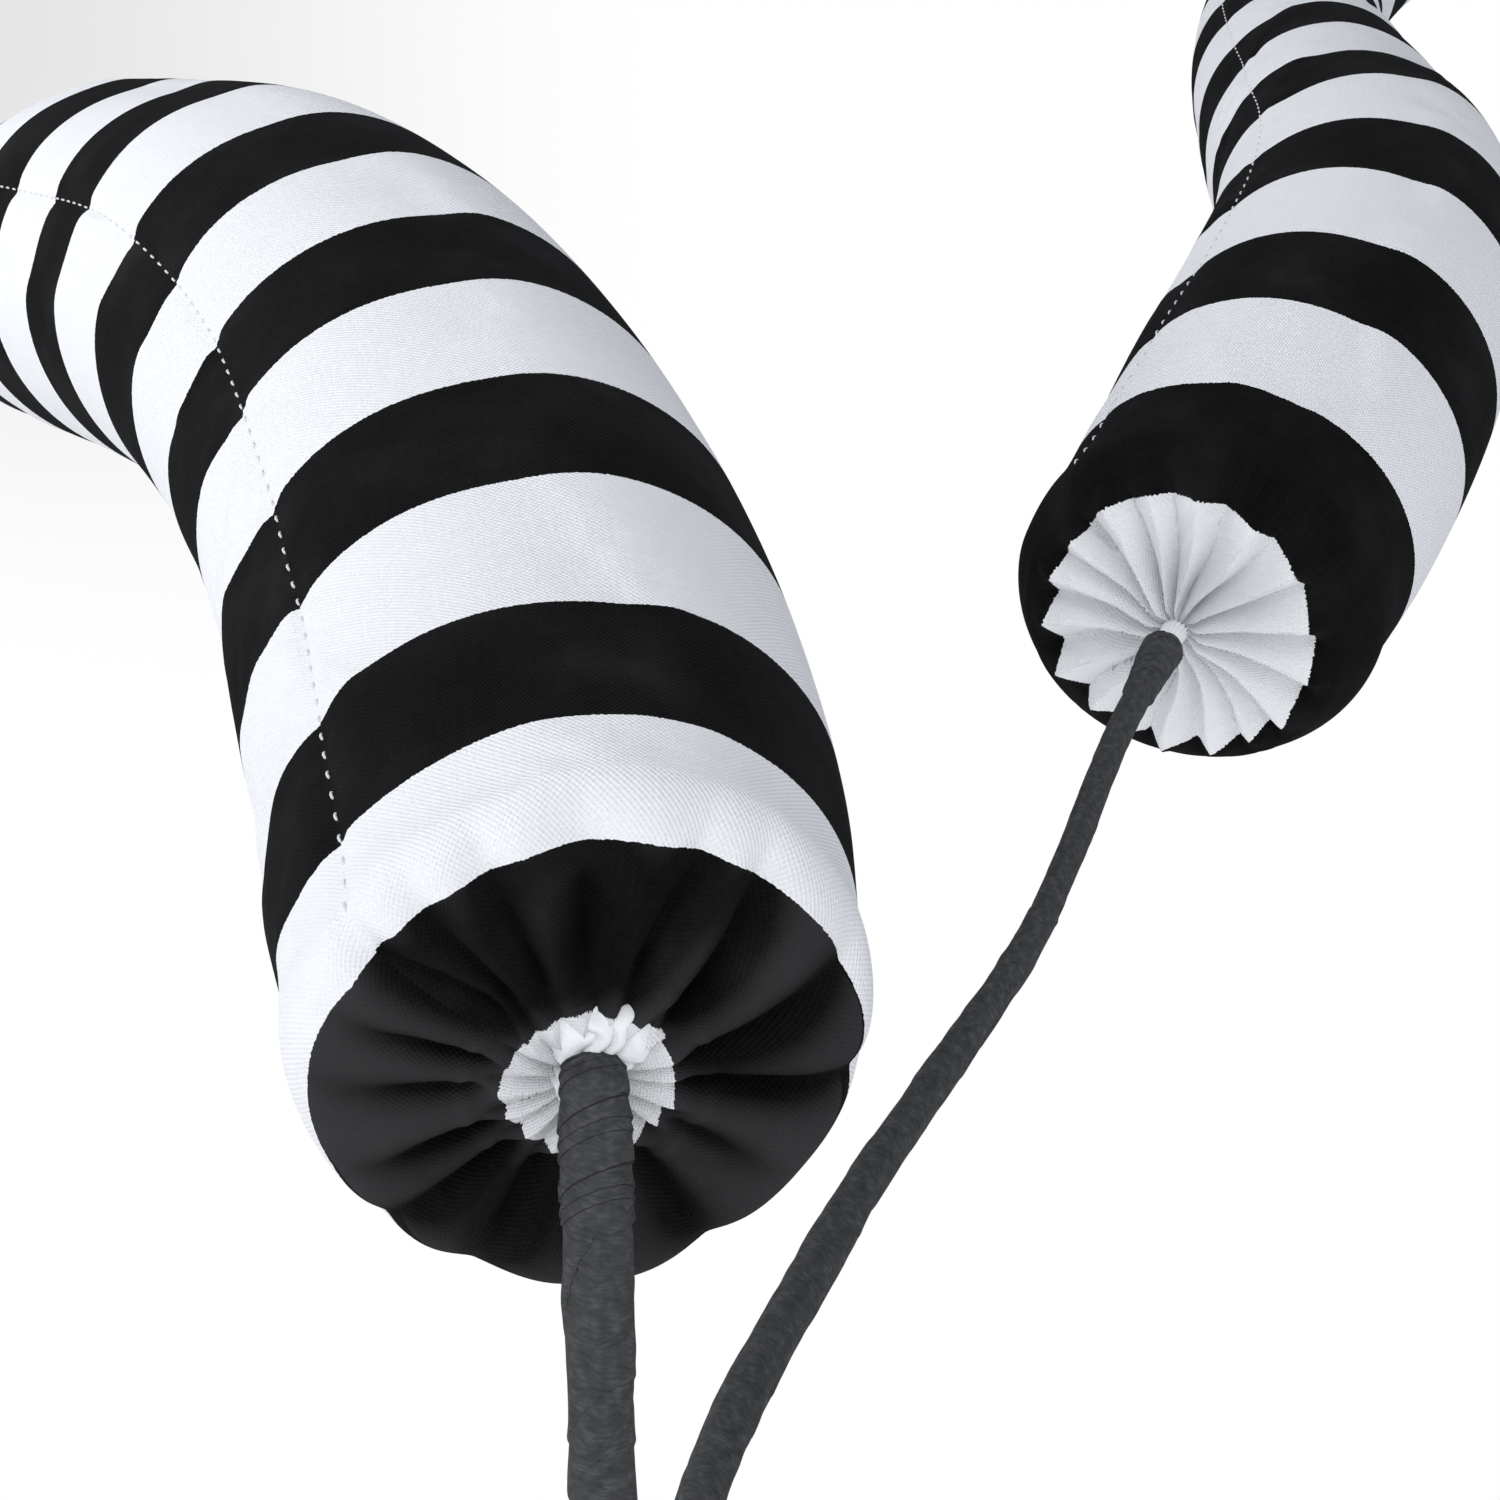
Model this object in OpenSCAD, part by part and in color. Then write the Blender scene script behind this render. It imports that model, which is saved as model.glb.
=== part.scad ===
// Curly striped spray: two stuffed fabric corkscrews on taped wire branches that
// meet in one straight stem. The origin is the foot of the stem and +Z runs up it.

/* [Stem] */
// Height of the fork above the foot of the stem
fork_h = 180; // [120:1:240]
// Diameter of the taped stem
stem_d = 8.6; // [8.4:0.1:12]
// Thickness of one coated wire
wire_d = 3.2; // [2.6:0.1:3.2]
// Thickness of the steel inside a coated wire
core_d = 2; // [1.2:0.1:2.2]

/* [Branches] */
// Thickness of a taped branch where it leaves the fork
branch_low_d = 5.8; // [5:0.1:7]
// Thickness of the taped left branch just under the neck
left_branch_top_d = 6.8; // [5:0.1:7]
// Thickness of the taped right branch just under the neck
right_branch_top_d = 4.4; // [4.2:0.1:7]
// Thickness of the close tape windings at the neck
neck_d = 7; // [6:0.1:7.4]
// Length of the close tape windings at the neck
neck_l = 10; // [6:1:14]

/* [Curls] */
// Diameter of a stuffed tube
tube_d = 67; // [54:1:70]
// Diameter that a tube tapers to before its tip closes
tube_end_d = 30; // [24:1:64]
// Radius of the rounded shoulder at the gathered end
shoulder_r = 9; // [6:1:12]
// Distance from the gathered end at which the left tube starts to taper
left_taper_start = 300; // [60:10:400]
// Distance from the gathered end at which the right tube starts to taper
right_taper_start = 30; // [30:10:400]
// How far the left tube is drawn in beside its gathered end
left_drawn_in = 4.5; // [0:0.1:6]
// How far the right tube is drawn in beside its gathered end
right_drawn_in = 4.5; // [0:0.1:6]
// Length over which the far end closes
tip_l = 24; // [16:1:40]
// Thickness of the gathered cloth
cloth_t = 0.8; // [0.5:0.1:1.5]
// Position of the seam round the tube, in steps of 15 degrees
seam_step = 15; // [0:1:23]

/* [Hidden] */
$fn = 48;

// Taper start and drawing in of each tube, and the length over which it is drawn in
left_shape = [left_taper_start, left_drawn_in];
right_shape = [right_taper_start, right_drawn_in];
drawn_in_l = 100;

// Clearances inside the wires and between cloth and filling
wire_gap = 0.05;
fill_gap = 0.3;

// Facets round a wire and round a tube
wire_sides = 8;
branch_sides = 12;
tube_sides = 24;
ring_step = 25;

// Three wires lie side by side in the stem
bundle_r = 1.9;
bundle_bore_r = bundle_r + wire_d / 2 + wire_gap;

// Windings round the fork, and the points where the branches bend
fork_tape_l = 30;
fork_tape_d = 13;
hinge_rise = 4;
hinge_seat = 1;
tip_gap = 0.3;
left_hinge = [-1, -4, hinge_rise];
right_hinge = [2, 4, hinge_rise];

// Every route is measured from the fork. Each neck stands a little off its gathered end
left_neck = [-2, -83.5, 81];
right_neck = [81.5, 25, 222];
left_branch_route = [left_hinge, left_neck];
right_branch_route = [right_hinge, [4, 1, 36], [7, -1, 70], [24, 6, 108], [41.5, 12, 138],
                      [52.5, 14.5, 156], [60.5, 17, 174], [70, 20.5, 198], right_neck];
left_curl_route = [[-3, -81.5, 85], [-10, -62, 130], [-22, -46, 176], [-38, -29, 219], [-60, -8, 260],
                   [-83, 19, 295], [-109, 49, 330], [-132, 83, 363], [-149, 120, 400], [-147, 156, 437],
                   [-128, 174, 482], [-102, 198, 511], [-74, 232, 524]];
right_curl_route = [[84, 26, 226], [104, 35, 265], [124, 48, 310], [138, 64, 355], [142, 87, 399],
                    [145, 110, 443], [150, 133, 487], [160, 153, 531], [182, 168, 574], [215, 172, 611],
                    [250, 160, 645], [275, 132, 678], [280, 96, 712]];

// Where the coat, the tape and the inner wire begin beside a bend
coat_start = 2.5;
tape_start = 4;
armature_start = 2;

// Threads
thread_gap = 0.1;
thread_d = 1.2;
seam_d = 0.8;
knot_d = 5;

// ---- curves ----

function unit(v) = v / norm(v);

// Length of a route's straight chords from point i on
function route_length(p, i = 0) =
    i >= len(p) - 1 ? 0 : norm(p[i + 1] - p[i]) + route_length(p, i + 1);

// Place along a route, as point number and fraction, at distance s from its start
function place(p, s, i = 0) =
    let (l = norm(p[i + 1] - p[i])) s <= l || i == len(p) - 2 ? i + s / l : place(p, s - l, i + 1);

// Point on the smooth curve through a route's points
function curve(p, u) =
    let (i = max(0, min(floor(u), len(p) - 2)),
         f = u - i,
         b = p[i],
         c = p[i + 1],
         a = i > 0 ? p[i - 1] : 2 * b - c,
         d = i < len(p) - 2 ? p[i + 2] : 2 * c - b)
    b + 0.5 * f * (c - a + f * (2 * a - 5 * b + 4 * c - d + f * (3 * (b - c) + d - a)));

function heading(p, u) = unit(curve(p, u + 0.02) - curve(p, u - 0.02));

// Side vectors carried along the headings without twist
function carried(t, i = 0, n = [1, 0, 0]) =
    i == len(t) ? [] : let (m = unit(n - (n * t[i]) * t[i])) concat([m], carried(t, i + 1, m));

// One ring of points for each [distance, radius] in a profile that runs along a route
function rings(p, profile, sides) =
    let (u = [for (q = profile) place(p, q[0])],
         t = [for (v = u) heading(p, v)],
         n = carried(t))
    [for (k = [0 : len(u) - 1])
        for (j = [0 : sides - 1])
            let (a = 360 * j / sides)
            curve(p, u[k]) + profile[k][1] * (cos(a) * n[k] + sin(a) * cross(t[k], n[k]))];

// Faces between ring k and ring l, each with the same number of points
function band(k, l, sides) =
    [for (j = [0 : sides - 1])
        let (i = (j + 1) % sides)
        each [[k * sides + j, l * sides + j, l * sides + i], [k * sides + j, l * sides + i, k * sides + i]]];

// Solid of revolution bent along a route, closed by its first and last ring
module bent_rod(p, profile, sides) {
    last = len(profile) - 1;
    polyhedron(
        rings(p, profile, sides),
        concat([[for (j = [0 : sides - 1]) j]],
               [for (k = [0 : last - 1]) each band(k, k + 1, sides)],
               [[for (j = [sides - 1 : -1 : 0]) last * sides + j]]),
        convexity = 10);
}

// Sleeve bent along a route: out along its outer profile and back along its inner one
module bent_sleeve(p, outer, inner, sides) {
    count = len(outer) + len(inner);
    bore = rings(p, inner, sides);
    back = [for (k = [len(inner) - 1 : -1 : 0]) each ring_of(bore, k, sides)];
    polyhedron(concat(rings(p, outer, sides), back),
               [for (k = [0 : count - 1]) each band(k, (k + 1) % count, sides)],
               convexity = 10);
}

function ring_of(points, k, sides) = [for (j = [0 : sides - 1]) points[k * sides + j]];

// Evenly spaced distances from a to b, no further apart than step
function steps(a, b, step) =
    let (n = ceil((b - a) / step)) [for (k = [0 : n]) a + (b - a) * k / n];

// Stands children, drawn up +Z, at a point with +Z turned to a heading
module aimed(at, heading) {
    translate(at)
        rotate([0, acos(heading.z), atan2(heading.y, heading.x)])
            children();
}

// ---- stem ----

module in_bundle(index) {
    rotate([0, 0, 90 + 120 * index])
        translate([bundle_r, 0, 0])
            children();
}

module stem_wire() {
    color("silver")
        in_bundle(0)
            cylinder(h = fork_h, d = wire_d);
}

module tail_wire(index) {
    color("silver")
        in_bundle(index)
            cylinder(h = fork_h, d = core_d);
}

module tail_coat(index) {
    color("darkgreen")
        in_bundle(index)
            difference() {
                cylinder(h = fork_h, d = wire_d);
                translate([0, 0, -1])
                    cylinder(h = fork_h + 2, d = core_d + 2 * wire_gap);
            }
}

module stem_tape() {
    color("dimgray")
        difference() {
            cylinder(h = fork_h - fork_tape_l, d = stem_d);
            translate([0, 0, -1])
                cylinder(h = fork_h, r = bundle_bore_r);
        }
}

module fork_tape() {
    top = hinge_rise - hinge_seat;
    color("dimgray")
        translate([0, 0, fork_h])
            difference() {
                rotate_extrude()
                    polygon([[0, -fork_tape_l], [stem_d / 2, -fork_tape_l],
                             [fork_tape_d / 2, -fork_tape_l / 2], [fork_tape_d / 2, top - 1],
                             [fork_tape_d / 2 - 1, top], [0, top]]);
                translate([0, 0, -fork_tape_l - 1])
                    cylinder(h = fork_tape_l + 1 + wire_gap, r = bundle_bore_r);
                for (hinge = [left_hinge, right_hinge])
                    translate(hinge)
                        sphere(r = core_d / 2 + tip_gap);
            }
}

// ---- branches ----

module from_fork() {
    translate([0, 0, fork_h])
        children();
}

// Steel core with a round tip at each bend
module branch_wire(route) {
    r = core_d / 2;
    end = route_length(route);
    low = [for (a = [75, 45, 15]) [-r * sin(a), r * cos(a)]];
    high = [for (a = [15, 45, 75]) [end + r * sin(a), r * cos(a)]];
    color("silver")
        from_fork()
            bent_rod(route, concat(low, [for (s = branch_stations(route)) [s, r]], high), wire_sides);
}

function branch_stations(route) = steps(coat_start, route_length(route) - coat_start, 14);

module branch_coat(route) {
    stations = branch_stations(route);
    color("darkgreen")
        from_fork()
            bent_sleeve(route, [for (s = stations) [s, wire_d / 2]],
                        [for (s = stations) [s, core_d / 2 + wire_gap]], wire_sides);
}

// Sleeve of tape over the coat from distance a to b, with an outer radius at each end
module tape_sleeve(route, a, b, r_a, r_b) {
    stations = steps(a, b, 14);
    color("dimgray")
        from_fork()
            bent_sleeve(route, [for (s = stations) [s, r_a + (r_b - r_a) * (s - a) / (b - a)]],
                        [for (s = stations) [s, wire_d / 2 + 2 * wire_gap]], branch_sides);
}

module branch_tape(route, top_d) {
    end = route_length(route) - tape_start - neck_l;
    tape_sleeve(route, tape_start, end, branch_low_d / 2, top_d / 2);
}

module neck_tape(route) {
    end = route_length(route) - tape_start;
    tape_sleeve(route, end - neck_l, end, neck_d / 2, neck_d / 2);
}

// ---- curls ----

// Radius of the cloth at distance s, which falls evenly from the taper's start to the tip
function tube_r(s, shape, end) =
    let (taper = max(0, (s - shape[0]) / (end - shape[0])),
         drawn = max(0, 1 - s / drawn_in_l))
    (tube_d + (tube_end_d - tube_d) * taper) / 2 - shape[1] * drawn * drawn;

// Half outline of a stuffed tube that is inset from the cloth's outside
function tube_outline(route, shape, inset, hole_r) =
    let (end = route_length(route),
         shoulder_in = shoulder_r - inset,
         flat_r = tube_r(shoulder_r, shape, end) - shoulder_r,
         tip_in = tip_l - inset,
         tip_r = tube_r(end - tip_l, shape, end) - inset)
    concat([[inset, hole_r], [inset, flat_r]],
           [for (a = [30, 60, 90]) [inset + shoulder_in * (1 - cos(a)), flat_r + shoulder_in * sin(a)]],
           [for (s = steps(shoulder_r + ring_step / 2, end - tip_l - ring_step / 2, ring_step))
               [s, tube_r(s, shape, end) - inset]],
           [for (a = [0, 20, 40, 60, 75]) [end - tip_l + tip_in * sin(a), tip_r * cos(a)]],
           [[end - inset, hole_r]]);

module cover(route, shape) {
    hole_r = wire_d / 2 + fill_gap;
    color("whitesmoke")
        from_fork()
            bent_sleeve(route, tube_outline(route, shape, 0, hole_r),
                        tube_outline(route, shape, cloth_t, hole_r), tube_sides);
}

module stuffing(route, shape) {
    outside = tube_outline(route, shape, cloth_t + fill_gap, wire_d / 2 + fill_gap);
    color("ivory")
        from_fork()
            bent_sleeve(route, outside, [for (q = outside) [q[0], wire_d / 2 + fill_gap / 2]], tube_sides);
}

// The wire in a tube starts beside the neck's bend and stops short of the tip
function armature_route(route, neck) = concat([neck], route);

function armature_stations(path) = steps(armature_start, route_length(path) - tip_l / 2, ring_step);

module armature_wire(route, neck) {
    path = armature_route(route, neck);
    color("silver")
        from_fork()
            bent_rod(path, [for (s = armature_stations(path)) [s, core_d / 2]], wire_sides);
}

module armature_coat(route, neck) {
    path = armature_route(route, neck);
    stations = armature_stations(path);
    color("darkgreen")
        from_fork()
            bent_sleeve(path, [for (s = stations) [s, wire_d / 2]],
                        [for (s = stations) [s, core_d / 2 + wire_gap]], wire_sides);
}

// Thread that draws the cloth in round the wire
module gather_thread(route) {
    start = heading(route, 0);
    r = wire_d / 2 + thread_gap + thread_d / 2;
    color("white")
        from_fork()
            aimed(route[0] - (thread_d / 2 + thread_gap) * start, start)
                rotate_extrude()
                    translate([r, 0])
                        circle(d = thread_d, $fn = 24);
}

// Line of the seam along the straight-sided stretch of the tube
function seam_line(route, shape) =
    let (outline = tube_outline(route, shape, -(seam_d / 2 + thread_gap), wire_d / 2),
         all = rings(route, outline, tube_sides))
    [for (k = [4 : len(outline) - 6]) all[k * tube_sides + seam_step]];

module seam_thread(route, shape) {
    line = seam_line(route, shape);
    whole = route_length(line);
    color("white")
        from_fork()
            bent_rod(line, [for (k = [0 : len(line) - 1]) [whole - route_length(line, k), seam_d / 2]], 6);
}

// Knot that holds the far end shut
module tip_thread(route) {
    last = len(route) - 1;
    color("white")
        from_fork()
            translate(route[last] + (knot_d / 2 + thread_gap) * heading(route, last))
                sphere(d = knot_d);
}

stem_wire();
stem_tape();
fork_tape();
tail_wire(1);  // left_tail_wire
tail_coat(1);  // left_tail_coat
tail_wire(2);  // right_tail_wire
tail_coat(2);  // right_tail_coat
branch_wire(left_branch_route);  // left_branch_wire
branch_coat(left_branch_route);  // left_branch_coat
branch_tape(left_branch_route, left_branch_top_d);  // left_branch_tape
neck_tape(left_branch_route);  // left_neck_tape
branch_wire(right_branch_route);  // right_branch_wire
branch_coat(right_branch_route);  // right_branch_coat
branch_tape(right_branch_route, right_branch_top_d);  // right_branch_tape
neck_tape(right_branch_route);  // right_neck_tape
cover(left_curl_route, left_shape);  // left_cover
stuffing(left_curl_route, left_shape);  // left_stuffing
armature_wire(left_curl_route, left_neck);  // left_armature_wire
armature_coat(left_curl_route, left_neck);  // left_armature_coat
cover(right_curl_route, right_shape);  // right_cover
stuffing(right_curl_route, right_shape);  // right_stuffing
armature_wire(right_curl_route, right_neck);  // right_armature_wire
armature_coat(right_curl_route, right_neck);  // right_armature_coat
gather_thread(left_curl_route);  // left_gather_thread
seam_thread(left_curl_route, left_shape);  // left_seam_thread
tip_thread(left_curl_route);  // left_tip_thread
gather_thread(right_curl_route);  // right_gather_thread
seam_thread(right_curl_route, right_shape);  // right_seam_thread
tip_thread(right_curl_route);  // right_tip_thread
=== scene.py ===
"""Curly striped spray: two stuffed cloth corkscrews on taped wire branches, built round its CAD part."""

import math

import bpy
import numpy as np
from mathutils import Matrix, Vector


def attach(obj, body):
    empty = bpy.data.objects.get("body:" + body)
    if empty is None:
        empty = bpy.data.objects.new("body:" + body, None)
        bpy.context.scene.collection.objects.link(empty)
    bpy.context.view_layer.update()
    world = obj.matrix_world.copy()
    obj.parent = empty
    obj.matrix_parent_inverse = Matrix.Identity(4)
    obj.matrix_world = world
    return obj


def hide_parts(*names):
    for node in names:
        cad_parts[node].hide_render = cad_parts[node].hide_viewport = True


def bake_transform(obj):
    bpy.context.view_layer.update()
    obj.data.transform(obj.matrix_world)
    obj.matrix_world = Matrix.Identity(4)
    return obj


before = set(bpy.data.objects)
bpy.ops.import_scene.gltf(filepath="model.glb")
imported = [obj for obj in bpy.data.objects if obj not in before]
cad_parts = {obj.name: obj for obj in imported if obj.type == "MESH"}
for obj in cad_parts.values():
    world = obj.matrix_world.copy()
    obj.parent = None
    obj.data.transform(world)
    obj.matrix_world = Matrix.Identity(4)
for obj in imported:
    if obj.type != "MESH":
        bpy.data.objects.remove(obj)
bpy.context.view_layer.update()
scene = bpy.context.scene

# ---- sizes in metres, as in the CAD ----

FORK_Z = 0.18
STEM_R = 0.0043
FORK_R = 0.0065
FORK_TAPE_L = 0.03
BRANCH_LOW_R = 0.0029
NECK_L = 0.010
TUBE_R = 0.0335
TUBE_END_R = 0.015
SHOULDER_R = 0.009
DRAWN_IN_L = 0.100
TIP_L = 0.024
HOLE_R = 0.0019

# Routes from the fork, as in the CAD
LEFT_BRANCH = [(-0.001, -0.004, 0.004), (-0.002, -0.0835, 0.081)]
RIGHT_BRANCH = [
    (0.002, 0.004, 0.004), (0.004, 0.001, 0.036), (0.007, -0.001, 0.070), (0.024, 0.006, 0.108),
    (0.0415, 0.012, 0.138), (0.0525, 0.0145, 0.156), (0.0605, 0.017, 0.174), (0.070, 0.0205, 0.198),
    (0.0815, 0.025, 0.222),
]
LEFT_CURL = [
    (-0.003, -0.0815, 0.085), (-0.010, -0.062, 0.130), (-0.022, -0.046, 0.176), (-0.038, -0.029, 0.219),
    (-0.060, -0.008, 0.260), (-0.083, 0.019, 0.295), (-0.109, 0.049, 0.330), (-0.132, 0.083, 0.363),
    (-0.149, 0.120, 0.400), (-0.147, 0.156, 0.437), (-0.128, 0.174, 0.482), (-0.102, 0.198, 0.511),
    (-0.074, 0.232, 0.524),
]
RIGHT_CURL = [
    (0.084, 0.026, 0.226), (0.104, 0.035, 0.265), (0.124, 0.048, 0.310), (0.138, 0.064, 0.355),
    (0.142, 0.087, 0.399), (0.145, 0.110, 0.443), (0.150, 0.133, 0.487), (0.160, 0.153, 0.531),
    (0.182, 0.168, 0.574), (0.215, 0.172, 0.611), (0.250, 0.160, 0.645), (0.275, 0.132, 0.678),
    (0.280, 0.096, 0.712),
]

# Cloth: colours in pairs, from the low to the high places of the weave, the lighter black of worn patches,
# which is also the painted sheen of the gathered end, the distance from thread to thread, the depth at which
# a fold lies in full painted shade without that sheen, and how far the stripes go on
COTTON = ((0.78, 0.79, 0.815), (0.87, 0.875, 0.89))
INK = ((0.0006, 0.0006, 0.0007), (0.0062, 0.0060, 0.0064))
WORN_AND_SHEEN_INK = (0.042, 0.041, 0.043)
WEAVE = 0.00036
SHADED_FOLD = 0.0022
LAST_EDGE = 0.66

# Seam and sewing thread
SEAM_ANGLE = math.radians(217)
STITCH_STEP = 0.0038
STITCH_L = 0.0014
STITCH_RISE = 0.00026
STITCH_SUNK = 0.00008
THREAD_R = 0.00017
KNOT_THREAD_R = 0.00055

# Tape: distance from row to row of its mesh, and from lap to lap of its windings
TAPE_ROW = 0.0004
WRAP_PITCH = 0.0105
STEM_PITCH = 0.012
NECK_PITCH = 0.0023
FORK_PITCH = 0.0042

# ---- camera, stage and light ----


def add(name, data):
    """Puts new data in the scene as an object."""
    obj = bpy.data.objects.new(name, data)
    scene.collection.objects.link(obj)
    return obj


def make_camera():
    """A low camera in front of the spray that looks up at it."""
    camera = add("camera", bpy.data.cameras.new("camera"))
    camera.data.sensor_width = 36
    camera.data.lens = 62.4
    camera.data.clip_start = 0.01
    camera.location = (0.013, -0.308, 0.1452)
    camera.rotation_euler = (math.radians(90 + 35), 0, 0)
    scene.camera = camera


def make_stage():
    """Pale floor under the foot of the stem."""
    half = 3
    mesh = bpy.data.meshes.new("floor")
    corners = [(-half, -half, 0), (half, -half, 0), (half, half, 0), (-half, half, 0)]
    mesh.from_pydata(corners, [], [(0, 1, 2, 3)])
    floor = add("floor", mesh)
    floor.location.z = -0.0005
    shader = Shader("floor_paper")
    speckle = shader.noise(shader.object_coordinates(), 40, 2)
    shader.put("Base Color", shader.ramp(speckle, [(0.3, (0.80, 0.80, 0.80)), (0.7, (0.84, 0.84, 0.84))]))
    shader.set("Roughness", 0.9)
    shader.set("Emission Color", (1, 1, 1, 1))
    shader.set("Emission Strength", 0.55)
    floor.data.materials.append(shader.material)


def make_surroundings():
    """White surroundings, which the camera sees a little darker toward the upper left."""
    scene.view_settings.view_transform = "Standard"
    world = bpy.data.worlds.new("studio")
    scene.world = world
    world.use_nodes = True
    tree = world.node_tree
    tree.nodes.clear()
    output = tree.nodes.new("ShaderNodeOutputWorld")
    mix = tree.nodes.new("ShaderNodeMixShader")
    path = tree.nodes.new("ShaderNodeLightPath")
    seen = tree.nodes.new("ShaderNodeBackground")
    parts = tree.nodes.new("ShaderNodeSeparateXYZ")
    tree.links.new(tree.nodes.new("ShaderNodeTexCoord").outputs["Generated"], parts.inputs[0])
    dusk = tree.nodes.new("ShaderNodeMath")
    dusk.operation = "MULTIPLY"
    falls = [("X", -0.02, -0.32, 1.0), ("Z", 0.57, 0.75, 0.24)]
    for number, (axis, low, high, most) in enumerate(falls):
        fall = tree.nodes.new("ShaderNodeMapRange")
        fall.interpolation_type = "SMOOTHSTEP"
        for name, value in (("From Min", low), ("From Max", high), ("To Min", 0.0), ("To Max", most)):
            fall.inputs[name].default_value = value
        tree.links.new(parts.outputs[axis], fall.inputs["Value"])
        tree.links.new(fall.outputs["Result"], dusk.inputs[number])
    sky = tree.nodes.new("ShaderNodeMath")
    sky.operation = "SUBTRACT"
    sky.inputs[0].default_value = 1.0
    tree.links.new(dusk.outputs[0], sky.inputs[1])
    tree.links.new(sky.outputs[0], seen.inputs["Color"])
    light = tree.nodes.new("ShaderNodeBackground")
    light.inputs["Color"].default_value = (0.86, 0.91, 1.0, 1)
    light.inputs["Strength"].default_value = 0.42
    tree.links.new(path.outputs["Is Camera Ray"], mix.inputs[0])
    tree.links.new(light.outputs[0], mix.inputs[1])
    tree.links.new(seen.outputs[0], mix.inputs[2])
    tree.links.new(mix.outputs[0], output.inputs["Surface"])


def make_lamps():
    """A soft key light from the upper left, and a front light from low down behind the camera."""
    for name, place, aim, size, power in [
        ("key", (-0.80, -0.30, 0.72), (-0.04, 0.0, 0.34), 0.7, 4.8),
        ("front", (0.05, -1.1, 0.08), (0.03, 0.0, 0.38), 1.0, 5.5),
    ]:
        lamp = bpy.data.lights.new(name, "AREA")
        lamp.size = size
        lamp.energy = power
        obj = add(name, lamp)
        obj.location = place
        obj.rotation_euler = (Vector(aim) - Vector(place)).to_track_quat("-Z", "Y").to_euler()


# ---- materials ----


class Shader:
    """A principled material that is put together from a few node helpers."""

    def __init__(self, name):
        self.material = bpy.data.materials.new(name)
        self.material.use_nodes = True
        self.tree = self.material.node_tree
        self.principled = self.tree.nodes["Principled BSDF"]

    def node(self, kind, **settings):
        made = self.tree.nodes.new(kind)
        for key, value in settings.items():
            setattr(made, key, value)
        return made

    def feed(self, socket, value):
        """Links an output to a socket, or writes a plain value into it."""
        if isinstance(value, bpy.types.NodeSocket):
            self.tree.links.new(value, socket)
        else:
            socket.default_value = value

    def set(self, name, value):
        self.principled.inputs[name].default_value = value

    def put(self, name, value):
        self.feed(self.principled.inputs[name], value)

    def math(self, operation, a, b=0.0, c=0.0):
        made = self.node("ShaderNodeMath", operation=operation)
        for socket, value in zip(made.inputs, (a, b, c)):
            self.feed(socket, value)
        return made.outputs[0]

    def uv(self, name):
        """The two coordinates of a UV map."""
        parts = self.node("ShaderNodeSeparateXYZ")
        self.feed(parts.inputs[0], self.node("ShaderNodeUVMap", uv_map=name).outputs[0])
        return parts.outputs[0], parts.outputs[1]

    def vector(self, x, y, z=0.0):
        made = self.node("ShaderNodeCombineXYZ")
        for socket, value in zip(made.inputs, (x, y, z)):
            self.feed(socket, value)
        return made.outputs[0]

    def object_coordinates(self):
        return self.node("ShaderNodeTexCoord").outputs["Object"]

    def noise(self, vector, scale, detail):
        made = self.node("ShaderNodeTexNoise")
        self.feed(made.inputs["Vector"], vector)
        made.inputs["Scale"].default_value = scale
        made.inputs["Detail"].default_value = detail
        return made.outputs["Fac"]

    def mix(self, factor, a, b):
        made = self.node("ShaderNodeMix", data_type="RGBA")
        self.feed(made.inputs[0], factor)
        for socket, value in ((made.inputs[6], a), (made.inputs[7], b)):
            self.feed(socket, value if isinstance(value, bpy.types.NodeSocket) else (*value, 1))
        return made.outputs[2]

    def ramp(self, factor, stops):
        """Colours at positions along a factor."""
        made = self.node("ShaderNodeValToRGB")
        self.feed(made.inputs[0], factor)
        elements = made.color_ramp.elements
        while len(elements) < len(stops):
            elements.new(0.5)
        for element, (position, colour) in zip(elements, stops):
            element.position = position
            element.color = (*colour, 1)
        return made.outputs[0]

    def bump(self, height, distance, strength=1.0):
        made = self.node("ShaderNodeBump")
        made.inputs["Distance"].default_value = distance
        made.inputs["Strength"].default_value = strength
        self.feed(made.inputs["Height"], height)
        self.feed(self.principled.inputs["Normal"], made.outputs[0])


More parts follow.
